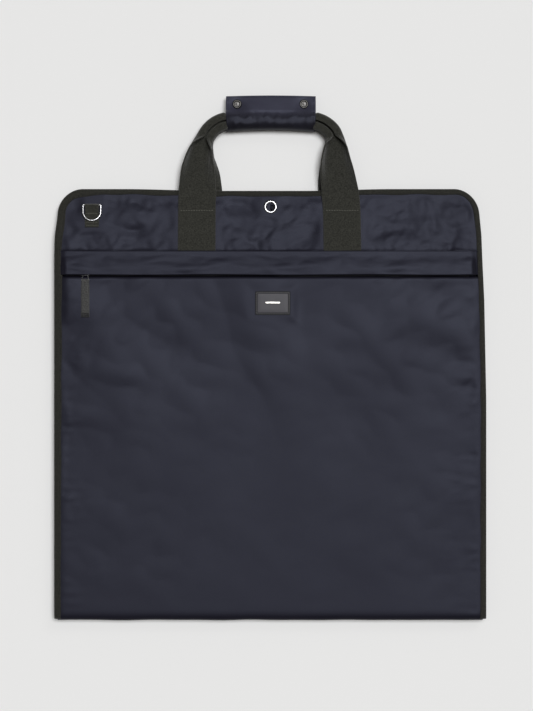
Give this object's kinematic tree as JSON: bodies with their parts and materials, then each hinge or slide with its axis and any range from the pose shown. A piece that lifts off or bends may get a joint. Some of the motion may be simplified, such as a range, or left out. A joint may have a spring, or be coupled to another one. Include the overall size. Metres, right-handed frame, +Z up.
{
  "type": "garment bag",
  "caption": "Flat garment bag folded in two, with a zip pocket on its face, webbing handles held by a press-stud wrap, D-rings and a hanger eyelet.",
  "frame": {"origin": "middle of the folded bag and its handles in plan, on the surface it lies on", "axes": "+Y from the fold towards the handles, +Z up through the half that carries the pocket, +X to the right of that face"},
  "size_m": [0.58, 0.7026, 0.0303],
  "materials": {
    "navy_nylon": "woven nylon, satin sheen",
    "edge_tape": "ribbed grosgrain tape, matt",
    "webbing": "herringbone webbing, matt",
    "wrap_nylon": "woven nylon, satin",
    "zip_tape": "knitted zip tape",
    "zip_coil": "moulded nylon coil",
    "pull_tape": "grosgrain pull tape",
    "bright_metal": "polished nickel plate",
    "dark_metal": "black enamel",
    "patch_leather": "embossed, matt"
  },
  "bodies": {
    "back_half": {"back_yoke": "navy_nylon", "back_main_panel": "navy_nylon", "back_fold_panel": "navy_nylon", "back_binding": "edge_tape", "back_inner_panel_left": "navy_nylon", "back_inner_panel_right": "navy_nylon", "back_d_ring_tab": "webbing", "back_handle_anchor_left": "webbing", "back_handle_anchor_right": "webbing", "main_zip_back_tapes": "zip_tape", "main_zip_back_coil": "zip_coil"},
    "front_half": {"front_yoke": "navy_nylon", "front_fold_panel": "navy_nylon", "front_binding": "edge_tape", "front_inner_panel_left": "navy_nylon", "front_inner_panel_right": "navy_nylon", "pocket_front_panel": "navy_nylon", "zip_facing": "navy_nylon", "pocket_lining": "navy_nylon", "pocket_placket": "navy_nylon", "leather_patch": "patch_leather", "eyelet_flange": "bright_metal", "eyelet_washer": "bright_metal", "front_d_ring_tab": "webbing", "front_handle_anchor_left": "webbing", "front_handle_anchor_right": "webbing", "pocket_zip_tapes": "zip_tape", "pocket_zip_coil": "zip_coil", "pocket_zip_stops": "dark_metal", "main_zip_front_tapes": "zip_tape", "main_zip_front_coil": "zip_coil", "main_zip_stops": "dark_metal"},
    "front_handle": {"front_handle_webbing": "webbing"},
    "back_handle": {"back_handle_webbing": "webbing", "wrap_back_leaf": "wrap_nylon", "snap_studs": "bright_metal", "snap_posts": "bright_metal"},
    "wrap_flap": {"wrap_front_leaf": "wrap_nylon", "snap_caps": "bright_metal", "snap_sockets": "bright_metal"},
    "front_ring": {"front_d_ring": "bright_metal"},
    "back_ring": {"back_d_ring": "bright_metal"},
    "pocket_slider": {"pocket_zip_slider": "dark_metal"},
    "pocket_link": {"pocket_pull_link": "dark_metal"},
    "pocket_tab": {"pocket_pull_tab": "pull_tape"},
    "main_slider": {"main_zip_slider": "dark_metal", "main_zip_pull": "dark_metal"}
  },
  "joints": [
    {"name": "fold_hinge", "type": "hinge", "parent": "back_half", "child": "front_half", "pos_m": [0, -0.3519, 0.0119], "axis": [1, 0, 0], "range_deg": [0, 180]},
    {"name": "front_handle_hinge", "type": "hinge", "parent": "front_half", "child": "front_handle", "pos_m": [0, 0.1997, 0.02069], "axis": [1, 0, 0], "range_deg": [0, 155]},
    {"name": "back_handle_hinge", "type": "hinge", "parent": "back_half", "child": "back_handle", "pos_m": [0, 0.1997, 0.00507], "axis": [1, 0, 0], "range_deg": [-155, 0]},
    {"name": "wrap_flap_hinge", "type": "hinge", "parent": "front_handle", "child": "wrap_flap", "pos_m": [0, 0.3061, 0.0143], "axis": [1, 0, 0], "range_deg": [0, 90]},
    {"name": "front_ring_hinge", "type": "hinge", "parent": "front_half", "child": "front_ring", "pos_m": [-0.24, 0.20548, 0.0222], "axis": [-1, 0, 0], "range_deg": [0, 170]},
    {"name": "back_ring_hinge", "type": "hinge", "parent": "back_half", "child": "back_ring", "pos_m": [0.24, 0.20538, 0.00341], "axis": [1, 0, 0], "range_deg": [0, 170]},
    {"name": "pocket_zip_slide", "type": "slide", "parent": "front_half", "child": "pocket_slider", "axis": [1, 0, 0], "range_m": [0, 0.49]},
    {"name": "pull_swing", "type": "hinge", "parent": "pocket_slider", "child": "pocket_link", "pos_m": [-0.2485, 0.1151, 0.0277], "axis": [0, 0, 1], "range_deg": [-40, 40]},
    {"name": "pull_lift", "type": "hinge", "parent": "pocket_link", "child": "pocket_tab", "pos_m": [-0.2485, 0.1031, 0.0277], "axis": [-1, 0, 0], "range_deg": [0, 100]},
    {"name": "main_zip_slide", "type": "slide", "parent": "front_half", "child": "main_slider", "axis": [0, -1, 0], "range_m": [0, 0.46]}
  ]
}
